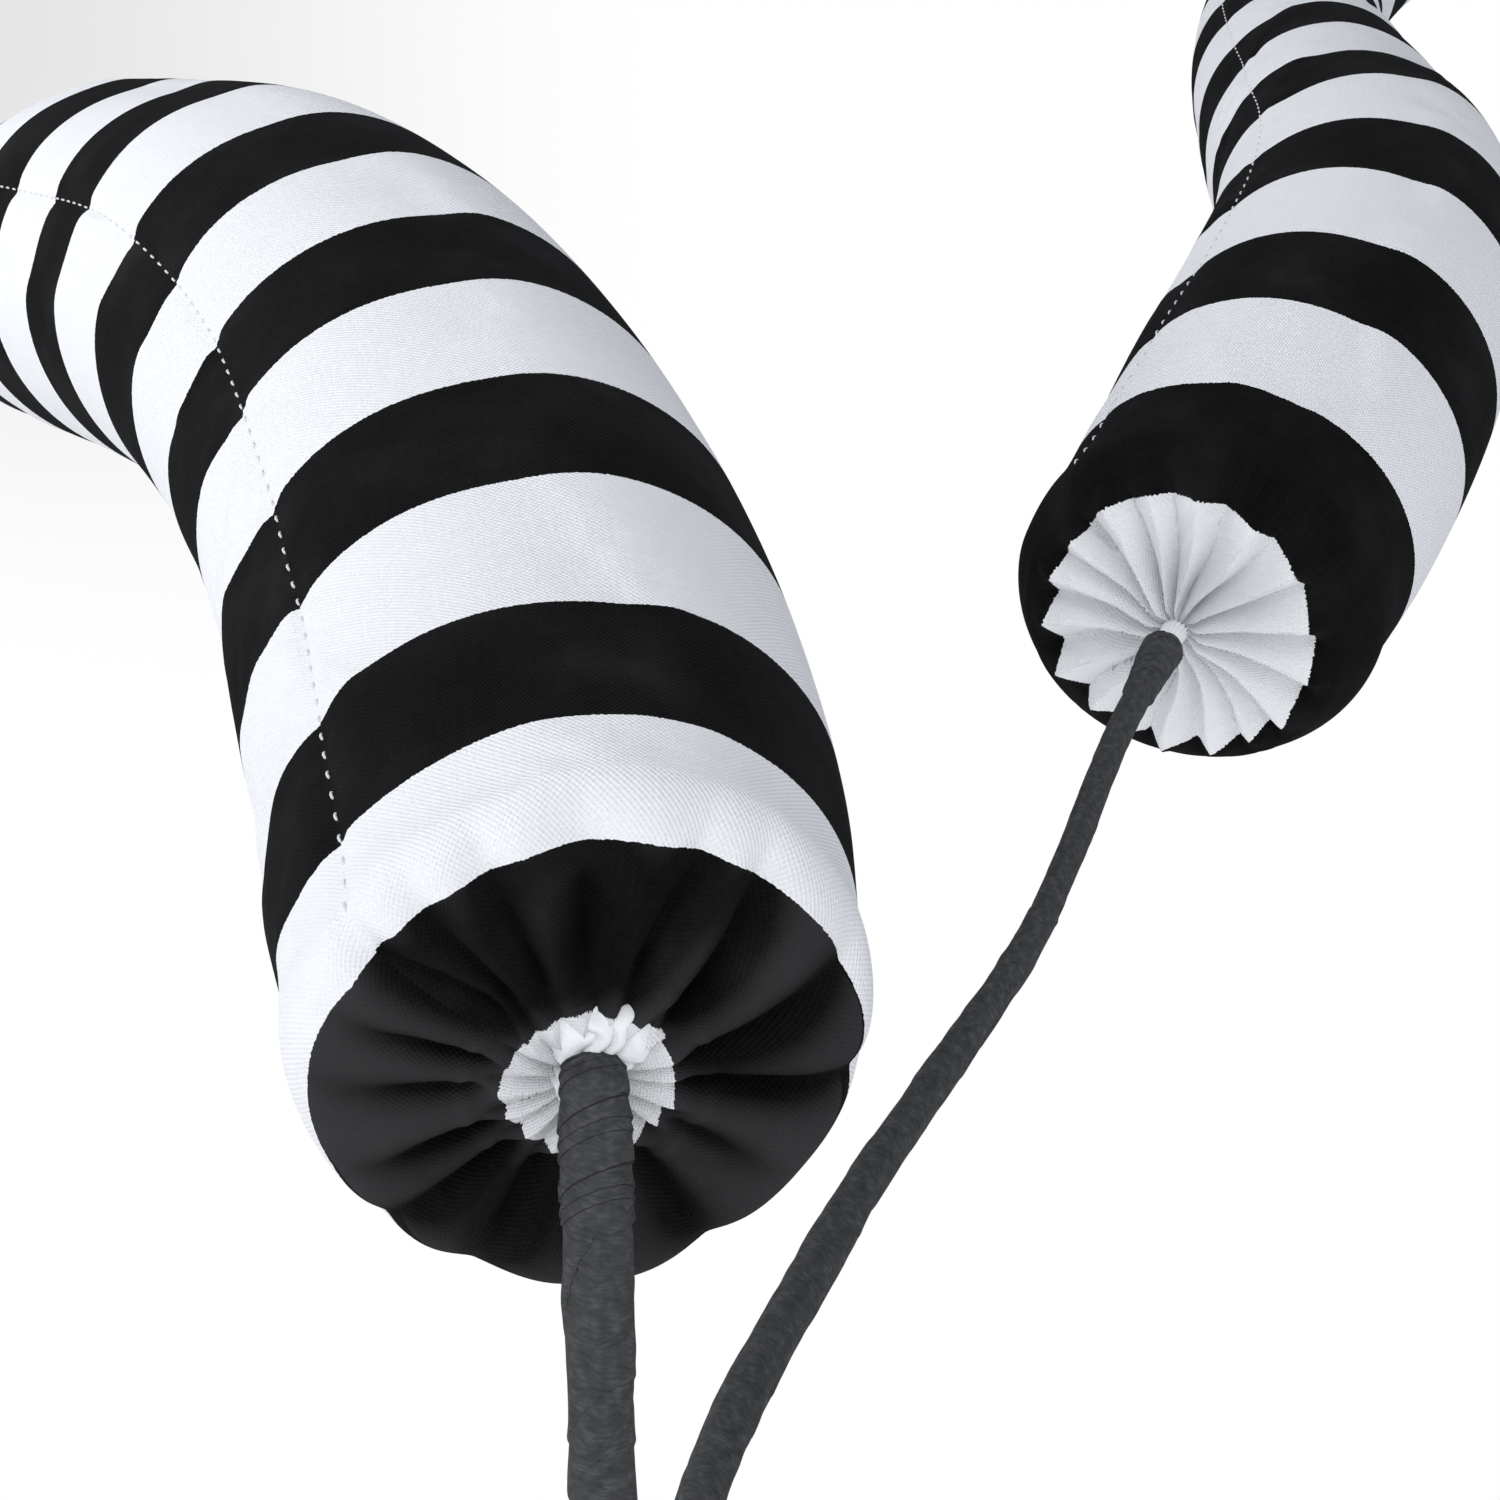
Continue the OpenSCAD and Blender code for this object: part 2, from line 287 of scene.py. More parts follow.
def striped_cloth(name, painted_sheen):
    """Plain-woven cotton in black and white stripes. The stripe map holds each corner's stripe number and
    how deep it lies in a fold. The black of the gathered end has a painted sheen outside its folds and
    painted shade in them."""
    shader = Shader(name)
    across, along = shader.uv("cloth")
    number, depth = shader.uv("stripe")
    place = shader.vector(across, along)
    ragged = shader.math("MULTIPLY_ADD", shader.noise(place, 2200, 1), 0.02, -0.01)
    half = shader.math("FRACT", shader.math("MULTIPLY", shader.math("ADD", number, ragged), 0.5))
    black = shader.math("LESS_THAN", half, 0.5)

    pitch = math.pi / WEAVE
    warp = shader.math("SINE", shader.math("MULTIPLY", across, pitch))
    weft = shader.math("SINE", shader.math("MULTIPLY", along, pitch))
    weave = shader.math("MULTIPLY", warp, weft)
    slub_weft = shader.noise(shader.vector(shader.math("MULTIPLY", across, 0.12), along), 1500, 2)
    slub_warp = shader.noise(shader.vector(across, shader.math("MULTIPLY", along, 0.12)), 1500, 2)
    slub = shader.math("ADD", slub_weft, slub_warp)
    height = shader.math("MULTIPLY_ADD", slub, 1.4, weave)
    shade = shader.math("MULTIPLY_ADD", weave, 0.22, shader.math("MULTIPLY", slub, 0.5))
    cloud = shader.noise(place, 55, 4)

    white = shader.mix(shade, *COTTON)
    ink = shader.ramp(shade, list(zip((0.15, 0.85), INK)))
    # Painted sheen on the raised black of the gathered end, taken away in each fold by its depth, which
    # leaves painted shade in the fold valleys; it adds to the random fading of worn patches
    at_end = shader.math("LESS_THAN", along, 0.002)
    raised = shader.math("SUBTRACT", 1.0, depth)
    painted_sheen_on_ridges = shader.math("MULTIPLY", at_end, shader.math("MULTIPLY", raised, painted_sheen))
    faded = shader.math("MULTIPLY", shader.math("POWER", cloud, 4.0), 1.1)
    wear_and_sheen = shader.math("ADD", faded, painted_sheen_on_ridges)
    worn_and_sheen_black = shader.mix(wear_and_sheen, ink, WORN_AND_SHEEN_INK)
    shader.put("Base Color", shader.mix(black, white, worn_and_sheen_black))
    shader.set("Roughness", 0.88)
    shader.set("Specular IOR Level", 0.04)
    shader.set("Sheen Weight", 0.01)
    shader.set("Sheen Roughness", 0.5)
    shader.bump(height, 0.00009, 0.8)
    return shader.material


def plain_cloth():
    """The same cotton without a stripe, for the small white ruffles."""
    shader = Shader("white_cotton")
    place = shader.object_coordinates()
    fibre = shader.noise(place, 2600, 2)
    cloud = shader.noise(place, 180, 2)
    tone = shader.math("MULTIPLY_ADD", fibre, 0.6, shader.math("MULTIPLY", cloud, 0.4))
    shader.put("Base Color", shader.mix(tone, *COTTON))
    shader.set("Roughness", 0.9)
    shader.set("Sheen Weight", 0.05)
    shader.bump(fibre, 0.0001, 0.7)
    return shader.material


def crepe_tape():
    """Charcoal crepe paper tape, with wavy crinkles round the wire and a painted shadow under each lap edge.
    """
    shader = Shader("crepe_tape")
    across, along = shader.uv("cloth")
    lap, line = shader.uv("stripe")
    place = shader.vector(across, along)
    drift = shader.noise(place, 300, 1)
    tipped = shader.math("MULTIPLY_ADD", across, 0.2, along)
    level = shader.math("ADD", tipped, shader.math("MULTIPLY", drift, 0.0022))
    crinkle = shader.noise(shader.vector(shader.math("MULTIPLY", across, 0.3), level), 2500, 4)
    mottle = shader.noise(place, 600, 4)
    tone = shader.math("MULTIPLY_ADD", crinkle, 0.50, shader.math("MULTIPLY", mottle, 0.50))
    colour = shader.ramp(tone, [(0.36, (0.027, 0.028, 0.029)), (0.52, (0.046, 0.047, 0.049)),
                                (0.66, (0.078, 0.079, 0.082))])
    # Painted shadow: a dark band at the foot of each lap edge, where the lap over it shades the tape
    torn = shader.math("MULTIPLY_ADD", shader.noise(place, 900, 2), 0.10, -0.05)
    under = shader.math("LESS_THAN", shader.math("FRACT", shader.math("ADD", lap, torn)), line)
    shadow = shader.math("MULTIPLY", under, 0.85)
    shader.put("Base Color", shader.mix(shadow, colour, (0.007, 0.007, 0.008)))
    shader.set("Roughness", 0.86)
    shader.set("Specular IOR Level", 0.3)
    shader.bump(tone, 0.00035, 0.9)
    return shader.material


def spun_thread(name, colour):
    """Twisted thread in one colour."""
    shader = Shader(name)
    place = shader.object_coordinates()
    fibre = shader.noise(place, 5200, 2)
    pale = tuple(min(1.0, c * 1.15) for c in colour)
    shader.put("Base Color", shader.mix(fibre, tuple(c * 0.8 for c in colour), pale))
    shader.set("Roughness", 0.7)
    shader.set("Sheen Weight", 0.15)
    shader.bump(fibre, 0.00008, 0.7)
    return shader.material


def drawn_steel():
    """Bare steel wire with fine drawing marks."""
    shader = Shader("steel_wire")
    place = shader.object_coordinates()
    marks = shader.noise(place, 3000, 2)
    shader.put("Base Color", shader.mix(marks, (0.42, 0.42, 0.43), (0.62, 0.62, 0.63)))
    shader.set("Metallic", 1.0)
    shader.put("Roughness", shader.math("MULTIPLY_ADD", marks, 0.2, 0.25))
    shader.bump(marks, 0.00003, 0.4)
    return shader.material


def wire_coat():
    """Dark green paper-like coat of a florist's wire."""
    shader = Shader("wire_coat")
    fibre = shader.noise(shader.object_coordinates(), 1800, 3)
    shader.put("Base Color", shader.mix(fibre, (0.012, 0.035, 0.016), (0.03, 0.075, 0.035)))
    shader.set("Roughness", 0.75)
    shader.bump(fibre, 0.00008, 0.6)
    return shader.material


# ---- lines and surfaces ----


def between(values, at, wrap=False):
    """Smooth values at fractional row numbers, from four rows round each."""
    count = len(values)
    i = np.floor(at).astype(int)
    f = (at - i).reshape((-1,) + (1,) * (values.ndim - 1))

    def row(k):
        return values[k % count] if wrap else values[np.clip(k, 0, count - 1)]

    a, b, c, d = row(i - 1), row(i), row(i + 1), row(i + 2)
    return b + 0.5 * f * (c - a + f * (2 * a - 5 * b + 4 * c - d + f * (3 * (b - c) + d - a)))


def unit(v):
    return v / np.linalg.norm(v, axis=-1, keepdims=True)


class Route:
    """A smooth line through points measured from the fork. Its side vectors are carried along it without
    twist, and it goes on for a spare length past both ends."""

    STEP = 0.001

    def __init__(self, points, spare=0.0):
        inner = np.array(points) + (0, 0, FORK_Z)
        before, after = 2 * inner[0] - inner[1], 2 * inner[-1] - inner[-2]
        self.points = np.vstack([before, inner, after])
        chords = np.linalg.norm(np.diff(inner, axis=0), axis=1)
        self.marks = np.concatenate([[0], np.cumsum(chords)])
        self.length = self.marks[-1]
        self.first = -spare
        self.samples = np.arange(-spare, self.length + spare + self.STEP, self.STEP)
        self.headings = unit(np.gradient(self.centre(self.samples), axis=0))
        side = np.array([1.0, 0, 0])
        self.sides = []
        for heading in self.headings:
            side = unit(side - (side @ heading) * heading)
            self.sides.append(side)
        self.sides = np.array(self.sides)

    def centre(self, s):
        """Points at distances s, which are measured along the straight chords as in the CAD."""
        inside = np.interp(s, self.marks, np.arange(len(self.marks)))
        before = np.minimum(s, 0) / (self.marks[1] - self.marks[0])
        after = np.maximum(s - self.length, 0) / (self.marks[-1] - self.marks[-2])
        u = inside + before + after
        i = np.clip(np.floor(u).astype(int), 0, len(self.marks) - 2)
        f = (u - i)[:, None]
        a, b, c, d = (self.points[i + k] for k in range(4))
        return b + 0.5 * f * (c - a + f * (2 * a - 5 * b + 4 * c - d + f * (3 * (b - c) + d - a)))

    def axes(self, s):
        """Heading, side and across vectors at distances s."""
        at = (np.asarray(s) - self.first) / self.STEP
        heading = unit(between(self.headings, at))
        side = between(self.sides, at)
        side = unit(side - np.sum(side * heading, axis=1, keepdims=True) * heading)
        return heading, side, np.cross(heading, side)


def round_surface(route, s, r, angles, out_s, out_r, height):
    """Grid of points round a route: rows at distances s, with a radius r for each row or for each point,
    raised by height along the outline's normal."""
    centre = route.centre(s)[:, None, :]
    heading, side, across = (v[:, None, :] for v in route.axes(s))
    ring = np.cos(angles)[None, :, None] * side + np.sin(angles)[None, :, None] * across
    normal = out_s[:, None, None] * heading + out_r[:, None, None] * ring
    radii = np.broadcast_to(r.reshape(len(s), -1), height.shape)[:, :, None]
    return centre + radii * ring + height[:, :, None] * normal


def outward(s, r):
    """Normal of an outline in the plane of its two coordinates, to the left of its direction."""
    ds, dr = np.gradient(s), np.gradient(r)
    size = np.hypot(ds, dr)
    return -dr / size, ds / size


def grid_mesh(name, points, cloth, stripe=None, close_ends=True):
    """Mesh of a grid that is closed round each row. cloth and stripe are its UV maps, and hold one more
    column than the grid has."""
    rows, sides = points.shape[:2]
    k, j = np.meshgrid(np.arange(rows - 1), np.arange(sides), indexing="ij")
    k, j = k.ravel(), j.ravel()
    i = (j + 1) % sides
    quads = np.stack([k * sides + j, k * sides + i, (k + 1) * sides + i, (k + 1) * sides + j], axis=1)
    faces = quads.tolist()
    if close_ends:
        faces.append(list(range(sides))[::-1])
        faces.append([(rows - 1) * sides + n for n in range(sides)])
    mesh = bpy.data.meshes.new(name)
    mesh.from_pydata(points.reshape(-1, 3).tolist(), [], faces)
    corners = np.stack([k * (sides + 1) + j, k * (sides + 1) + j + 1,
                        (k + 1) * (sides + 1) + j + 1, (k + 1) * (sides + 1) + j], axis=1).ravel()
    for layer, values in (("cloth", cloth), ("stripe", stripe)):
        if values is not None:
            uv = np.zeros((len(mesh.loops), 2))
            uv[: len(corners)] = values.reshape(-1, 2)[corners]
            mesh.uv_layers.new(name=layer).data.foreach_set("uv", uv.ravel())
    mesh.polygons.foreach_set("use_smooth", [True] * len(mesh.polygons))
    mesh.update()
    return mesh


def smooth_step(x, low, high):
    t = np.clip((x - low) / (high - low), 0, 1)
    return t * t * (3 - 2 * t)


def knife(place, crease):
    """Cross-section of a knife pleat: a slow rise to its crease, then a shorter fall."""
    return np.where(place < crease, place / crease, (1 - place) / (1 - crease))


def soft_noise(x, y, seed):
    """Even noise from -1 to 1 on two coordinates, made of a lattice of random values one unit apart."""
    table = np.random.default_rng(seed).uniform(-1, 1, (64, 64))
    i, j = np.floor(x).astype(int), np.floor(y).astype(int)
    f, g = x - i, y - j
    f, g = f * f * (3 - 2 * f), g * g * (3 - 2 * g)

    def value(a, b):
        return table[a % 64, b % 64]

    low = value(i, j) * (1 - f) + value(i + 1, j) * f
    high = value(i, j + 1) * (1 - f) + value(i + 1, j + 1) * f
    return low * (1 - g) + high * g


# ---- curls ----

SHOULDER_ARC = SHOULDER_R * math.pi / 2
RIM_M = SHOULDER_R - SHOULDER_ARC
SIM_SIDES = 96
CURL_SIDES = 288


class Curl:
    """One stuffed tube. m is the distance over its cloth, and it equals s between its rounded ends."""

    # Swell and cone of the gathered end. Each FADE is the stretch of m over which something dies away
    SWELL = 0.0030
    SWELL_R = 0.002
    SWELL_FADE = (0.001, 0.017)
    CONE_R = 0.011
    DENT_FADE = (0.006, 0.036)
    # Knife pleats: lean and waviness in turns, and how far each moves the white edge
    BLADE_LEAN = 0.035
    BLADE_WAVE = 0.006
    BLADE_STEP = 0.0004
    # Ridge in the black just outside the pleats: height, distance from the white edge, half width
    RIDGE = (0.0004, 0.0035, 0.0007)
    # Folds: how far they reach over the rim, the stretch over which they die away, and the least half width
    DEEP_FOLD = 0.004
    DEEP_REACH = 0.009
    SHALLOW_REACH = 0.004
    FOLD_FADE_L = 0.016
    FOLD_MIN = 0.0008
    FOLD_POWER = 1.25
    # Far tip: how far round it the outline goes, and its folds. No fold of the gathered end lies past CAP_M
    TIP_TURN = math.radians(82)
    TIP_FOLDS = 12
    TIP_FOLD = 0.0035
    CAP_M = 0.05
    # Seam: depth and half width of its stitched valley and of the wide hollow round it
    VALLEY = (0.0007, 0.0016)
    HOLLOW = (0.0005, 0.007)
    # Wrinkles beside the seam: height, spacing along it, and how far away from it they fade
    PUCKER = (0.00035, 0.0042, 0.0085)
    SOFT_CREASE = (0.0005, 0.013, 0.03)
    # Unevenness of the whole tube: height and length
    BILLOW = (0.00045, 0.035)
    # Stripes: how far they miss each other at the seam, and how far a fold shifts them for its depth
    SEAM_STEP = 0.0004
    FOLD_SHIFT = 0.4

    def __init__(self, name, points, taper_start, drawn_in, edges, folds, pleats, crease, uneven, oval,
                 overhang, cone, dents, collar, slack, seed):
        self.name = name
        self.route = Route(points)
        self.taper_start = taper_start
        self.drawn_in = drawn_in
        self.edges = edges
        self.folds = folds
        self.pleats, self.pleat_depth, self.pleat_r = pleats
        self.crease = crease
        self.uneven = uneven
        self.oval = oval
        self.overhang = overhang
        self.cone = cone
        self.dents = dents
        self.collar = collar
        self.slack = slack
        self.seed = seed
        self.end = self.route.length
        self.flat_r = self.radius(SHOULDER_R) - SHOULDER_R
        self.tip_start = self.end - TIP_L
        turn = np.linspace(0, self.TIP_TURN, 60)
        self.tip_s = self.tip_start + TIP_L * np.sin(turn)
        self.tip_radii = self.radius(self.tip_start) * np.cos(turn)
        steps = np.hypot(np.diff(self.tip_s), np.diff(self.tip_radii))
        self.tip_m = self.tip_start + np.concatenate([[0], np.cumsum(steps)])

    def radius(self, s):
        """Radius of the tube before its ends are rounded: it is drawn in at the gathered end and tapers to
        the far one."""
        taper = np.clip((s - self.taper_start) / (self.end - self.taper_start), 0, None)
        drawn = np.clip(1 - s / DRAWN_IN_L, 0, None)
        return TUBE_R + (TUBE_END_R - TUBE_R) * taper - self.drawn_in * drawn ** 2

    def outline(self, m):
        """s and r of the cloth at distances m."""
        turn = np.clip((m - RIM_M) / SHOULDER_R, 0, math.pi / 2)
        s = np.where(m < SHOULDER_R, SHOULDER_R * (1 - np.cos(turn)), m)
        r = np.where(m < SHOULDER_R, self.flat_r + SHOULDER_R * np.sin(turn), self.radius(m))
        r = np.where(m < RIM_M, self.flat_r + m - RIM_M, r)
        s = np.where(m > self.tip_start, np.interp(m, self.tip_m, self.tip_s), s)
        return s, np.where(m > self.tip_start, np.interp(m, self.tip_m, self.tip_radii), r)

    def rows(self, fine):
        """Distances of the mesh rows, closer together on the two gathered ends."""
        step = 1 if fine else 4
        first = RIM_M - (self.flat_r - HOLE_R)
        cap = np.arange(first, SHOULDER_R + 0.006, 0.0006 * step)
        tip = np.arange(self.tip_start - 0.004, self.tip_m[-1], 0.0008 * step)
        side = np.linspace(cap[-1], tip[0], int((tip[0] - cap[-1]) / (0.0013 * min(step, 3))) + 1)
        return np.concatenate([cap, side[1:-1], tip])

    def surface(self, m, sides, height):
        """Points of the tube at distances m, with its rim dented or standing out in places."""
        s, r = self.outline(m)
        angles = SEAM_ANGLE + 2 * math.pi * np.arange(sides) / sides
        share = np.clip(r / TUBE_R, 0, 1) * (1 - smooth_step(m, *self.DENT_FADE))
        dented = np.zeros(sides)
        for degrees, width, depth in self.dents:
            off = (np.degrees(angles) - degrees + 180) % 360 - 180
            dented = dented + depth * np.exp(-(off / width) ** 2)
        radii = r[:, None] - share[:, None] * dented
        return round_surface(self.route, s, radii, angles, *outward(s, r), height)

    def crown(self, m):
        """Swell of the gathered end between its middle and its rim, and the cone of its middle round the
        wire."""
        _, r = self.outline(m)
        share = np.clip((r - self.SWELL_R) / (TUBE_R - self.SWELL_R), 0, 1)
        cone = self.cone * np.clip(1 - (r - HOLE_R) / self.CONE_R, 0, None) ** 2
        swell = self.SWELL * np.sin(math.pi * share) ** 0.8
        return swell * (1 - smooth_step(m, *self.SWELL_FADE)) + cone * (m < 0)

    def blades(self, r, turn):
        """Knife pleats round the middle: each point's place across its pleat, and its pleat's number."""
        random = np.random.default_rng(self.seed)
        widths = random.uniform(0.7, 1.3, self.pleats)
        starts = np.concatenate([[0], np.cumsum(widths) / widths.sum()])
        lean = self.BLADE_LEAN * (1 - r / TUBE_R) ** 3
        bent = (turn[None, :] + lean + self.BLADE_WAVE * np.sin(r / 0.004 + 9 * turn[None, :])) % 1
        number = np.searchsorted(starts, bent, side="right") - 1
        place = (bent - starts[number]) / (starts[number + 1] - starts[number])
        return place, number

    def angle(self, turn):
        """Angle round the tube from its side vector. The low side of both gathered ends is near a quarter
        turn."""
        return SEAM_ANGLE + 2 * math.pi * turn

    def blade_edge(self, r, turn):
        """How far each pleat moves the edge of the white middle outward, which is longer one way than the
        other."""
        place, number = self.blades(r, turn)
        random = np.random.default_rng(self.seed + 7)
        ends = random.uniform(-self.uneven, self.uneven, self.pleats)[number]
        step = self.BLADE_STEP * knife(place, self.crease)
        return ends + step + self.oval * np.sin(self.angle(turn)) ** 2

    def gathers(self, m, turn):
        """Height of the folds of the gathered end and of the far tip, at parts of a turn from the seam."""
        random = np.random.default_rng(self.seed)
        _, r = self.outline(m)
        r = r[:, None]
        m = m[:, None]
        total = np.zeros((len(m), len(turn)))
        for degrees, lean, width, depth in self.folds:
            outer = smooth_step(r, self.pleat_r, TUBE_R)
            place = (np.radians(degrees + lean * (1 - outer)) - SEAM_ANGLE) / (2 * math.pi)
            offset = ((turn[None, :] - place + 0.5) % 1 - 0.5) * 2 * math.pi * r
            half = np.maximum(math.radians(width) * r, self.FOLD_MIN)
            reach = self.DEEP_REACH if depth > self.DEEP_FOLD else self.SHALLOW_REACH
            inner = smooth_step(r, self.pleat_r * 0.85, self.pleat_r + 0.004)
            strength = inner * (1 - smooth_step(m, reach - self.FOLD_FADE_L, reach))
            total -= depth * strength * np.exp(-np.abs(offset / half) ** self.FOLD_POWER)
        place, number = self.blades(r, turn)
        depths = random.uniform(0.6, 1.3, self.pleats)[number] * self.pleat_depth
        edge = self.pleat_r + self.blade_edge(r, turn)
        pleated = smooth_step(r, 0.0012, 0.005) * (1 - smooth_step(r, edge - 0.0005, edge + 0.003))
        total += depths * (knife(place, self.crease) - 0.5) * pleated
        ridge, away, half = self.RIDGE
        total += ridge * np.exp(-(((r - edge - away) / half) ** 2)) * (m < SHOULDER_R)
        near_tip = smooth_step(m, self.tip_start - 0.006, self.tip_m[-1])
        uneven = 0.5 * soft_noise(turn * 7, turn * 0, self.seed + 1)
        wave = np.abs(np.sin(math.pi * (self.TIP_FOLDS * turn[None, :] + uneven)))
        tip = -self.TIP_FOLD * (1 - wave ** 0.7) * near_tip * (1 - 0.5 * near_tip)
        return np.where(m < self.CAP_M, total, tip)

    def wrinkles(self, m, turn):
        """Height of the seam's valley and of the puckers and soft creases beside it."""
        m = m[:, None]
        _, r = self.outline(m)
        off = np.minimum(turn, 1 - turn)[None, :] * 2 * math.pi * np.maximum(r, 0.004)
        side = np.where(turn < 0.5, 1.0, -1.0)[None, :]
        near_tip = smooth_step(m, self.tip_start, self.tip_m[-1])
        body = smooth_step(m, RIM_M - 0.006, SHOULDER_R) * (1 - near_tip)
        valley, hollow = (depth * np.exp(-((off / half) ** 2)) for depth, half in (self.VALLEY, self.HOLLOW))
        lean = m + side * 0.35 * off
        height, spacing, fade = self.PUCKER
        pucker = soft_noise(lean / spacing, off / 0.012 + 5 * side, self.seed + 2)
        pucker = height * pucker * np.exp(-off / fade) * smooth_step(off, 0.0004, 0.002)
        height, spacing, fade = self.SOFT_CREASE
        crease = soft_noise(lean / spacing, off / fade + 9 * side, self.seed + 3)
        crease = crease * np.exp(-off / fade) * height
        height, length = self.BILLOW
        billow = height * soft_noise(m / length, turn[None, :] * 6, self.seed + 4)
        return self.slack * body * (-valley - hollow + pucker + crease + billow)

    def stripe_numbers(self, m, height):
        """Number of the stripe at each corner: black starts at every even number."""
        sides = height.shape[1]
        turn = np.arange(sides + 1) / sides
        wrapped = np.concatenate([height, height[:, :1]], axis=1)
        _, r = self.outline(m)
        m = m[:, None]
        middle = self.blade_edge(r[:, None], turn % 1) * (r[:, None] < self.pleat_r + 0.005) * (m < 0)
        low = (0.5 + 0.5 * np.cos(self.angle(turn) - math.radians(80))) ** 1.5
        over = self.overhang * low[None, :] * smooth_step(m, -0.014, -0.006)
        over = over * (1 - smooth_step(m, 0.006, 0.016))
        missed = self.SEAM_STEP * (turn[None, :] - 0.5)
        shifted = m + missed + self.FOLD_SHIFT * wrapped * (middle == 0) - middle - over
        return np.interp(shifted, self.edges, np.arange(len(self.edges)) - 1)


def puffed(curl):
    """How far each point of a coarse tube moves when the stuffing blows up its cloth and the seam draws it
    in."""
    m = curl.rows(fine=False)
    start = curl.surface(m, SIM_SIDES, np.zeros((len(m), SIM_SIDES)) + curl.crown(m)[:, None])
    tube = add("puff", grid_mesh("puff", start, None))
    count = len(m) * SIM_SIDES
    held = tube.vertex_groups.new(name="held")
    ends = [k for k in range(len(m)) if m[k] < RIM_M - 0.004 or m[k] > curl.tip_start]
    held.add([k * SIM_SIDES + j for k in ends for j in range(SIM_SIDES)], 1.0, "REPLACE")
    seam = tube.vertex_groups.new(name="seam")
    for j, weight in ((0, 1.0), (1, 0.5), (SIM_SIDES - 1, 0.5)):
        seam.add([k * SIM_SIDES + j for k in range(len(m)) if k not in ends], weight, "REPLACE")
    cloth = tube.modifiers.new("cloth", "CLOTH")
    settings = cloth.settings
    settings.quality = 5
    settings.mass = 0.25
    settings.tension_stiffness = 20
    settings.compression_stiffness = 20
    settings.shear_stiffness = 8
    settings.bending_stiffness = 0.3
    settings.use_pressure = True
    settings.uniform_pressure_force = 4
    settings.vertex_group_mass = "held"
    settings.vertex_group_shrink = "seam"
    settings.shrink_min = -0.008
    settings.shrink_max = 0.035
    settings.effector_weights.gravity = 0
    cloth.collision_settings.use_collision = False
    for number in range(1, 21):
        scene.frame_set(number)
    evaluated = tube.evaluated_get(bpy.context.evaluated_depsgraph_get())
    moved = np.zeros(count * 3)
    evaluated.data.vertices.foreach_get("co", moved)
    scene.frame_set(1)
    bpy.data.objects.remove(tube)
    return m, settled(start, moved.reshape(start.shape) - start, 0.0007)


def settled(start, moves, most):
    """Moves without each ring's own shift and growth, mostly in or out, and shorter than most."""
    out = unit(start - start.mean(axis=1, keepdims=True))
    moves = moves - moves.mean(axis=1, keepdims=True)
    rise = np.sum(moves * out, axis=2, keepdims=True)
    moves = 0.3 * (moves - rise * out) + (rise - rise.mean(axis=1, keepdims=True)) * out
    size = np.maximum(np.linalg.norm(moves, axis=2, keepdims=True), 1e-9)
    return moves * most * np.tanh(size / (3 * most)) / size


def make_cover(curl, material):
    """The striped cloth of one curl, in the space of its CAD cover and stuffing."""
    m = curl.rows(fine=True)
    turn = np.arange(CURL_SIDES) / CURL_SIDES
    gathers = curl.gathers(m, turn)
    height = curl.crown(m)[:, None] + gathers + curl.wrinkles(m, turn)
    points = curl.surface(m, CURL_SIDES, height)
    coarse_m, moves = puffed(curl)
    moves = between(moves, np.interp(m, coarse_m, np.arange(len(coarse_m))))
    moves = between(moves.swapaxes(0, 1), turn * SIM_SIDES, wrap=True).swapaxes(0, 1)
    points = points + moves
    across = np.arange(CURL_SIDES + 1) / CURL_SIDES * 2 * math.pi * TUBE_R
    cloth = np.stack(np.broadcast_arrays(across[None, :], m[:, None]), axis=2)
    number = curl.stripe_numbers(m, gathers)
    # How deep each corner lies in a fold, which the cloth shader uses to take its painted sheen out of the
    # fold valleys as painted shade
    depth = np.clip(-gathers / SHADED_FOLD, 0, 1)
    stripe = np.stack([number, np.concatenate([depth, depth[:, :1]], axis=1)], axis=2)
    name = f"{curl.name}_striped_cloth"
    cover = add(name, grid_mesh(name, points, cloth, stripe))
    cover.data.materials.append(material)
    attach(cover, f"{curl.name}_curl")
    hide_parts(f"{curl.name}_cover", f"{curl.name}_stuffing")
    return m, points


def thread_pieces(name, lines, radius, material, sides=8):
    """One mesh of short round threads that taper at their ends, one for each line of points."""
    points, faces = [], []
    for line in lines:
        line = np.asarray(line)
        headings = unit(np.gradient(line, axis=0))
        side = unit(np.cross(headings[0], (0.31, 0.57, 0.76)))
        first = len(points)
        last = len(line) - 1
        for k, heading in enumerate(headings):
            side = unit(side - (side @ heading) * heading)
            across = np.cross(heading, side)
            size = radius * (0.55 if k in (0, last) else 1.0)
            for j in range(sides):
                a = 2 * math.pi * j / sides
                points.append(line[k] + size * (math.cos(a) * side + math.sin(a) * across))
        for k in range(last):
            low = first + k * sides
            for j in range(sides):
                i = (j + 1) % sides
                faces.append((low + j, low + i, low + sides + i, low + sides + j))
        faces.append([first + j for j in range(sides)][::-1])
        faces.append([first + last * sides + j for j in range(sides)])
    mesh = bpy.data.meshes.new(name)
    mesh.from_pydata([tuple(p) for p in points], [], faces)
    mesh.polygons.foreach_set("use_smooth", [True] * len(mesh.polygons))
    obj = add(name, mesh)
    obj.data.materials.append(material)
    return obj


